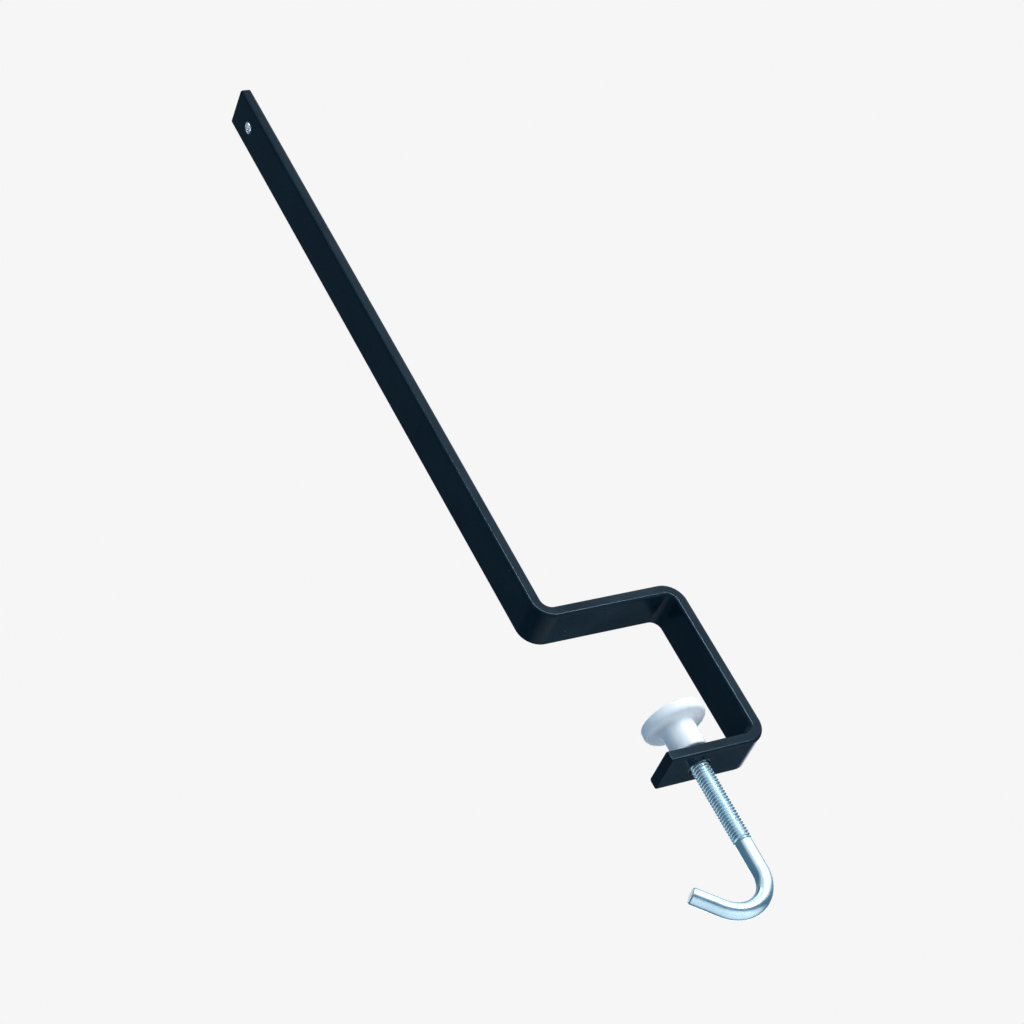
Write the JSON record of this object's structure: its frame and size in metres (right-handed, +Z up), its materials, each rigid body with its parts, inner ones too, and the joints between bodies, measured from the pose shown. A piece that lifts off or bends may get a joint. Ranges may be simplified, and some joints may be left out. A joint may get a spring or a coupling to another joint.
{
  "type": "table tennis net clamp",
  "caption": "Bent steel strip net post with a clamp at its foot, closed under the table by a hook screw with a plastic pressure pad.",
  "frame": {"origin": "middle of the jaw face, the flat underside of the strip that rests on the table top", "axes": "+Z up the post, +X outward past the edge of the table, Y across the strip's width"},
  "size_m": [0.0356, 0.0142, 0.2335],
  "materials": {
    "black_paint": "gloss",
    "zinc_plate": "bright",
    "white_plastic": "satin"
  },
  "bodies": {
    "strip": {"bracket": "black_paint"},
    "pad": {"pressure_pad": "white_plastic"},
    "screw": {"hook_screw": "zinc_plate"}
  },
  "joints": [
    {"name": "pad_feed", "type": "slide", "parent": "strip", "child": "pad", "axis": [0, 0, 1], "range_m": [0, 0.0182]},
    {"name": "screw_turn", "type": "hinge", "parent": "pad", "child": "screw", "pos_m": [0.0021, 0, -0.0389], "axis": [0, 0, 1], "range_deg": [0, 9360]}
  ],
  "couplings": [
    {"joint": "screw_turn", "follows": "pad_feed", "rad_per_m": 8976}
  ]
}
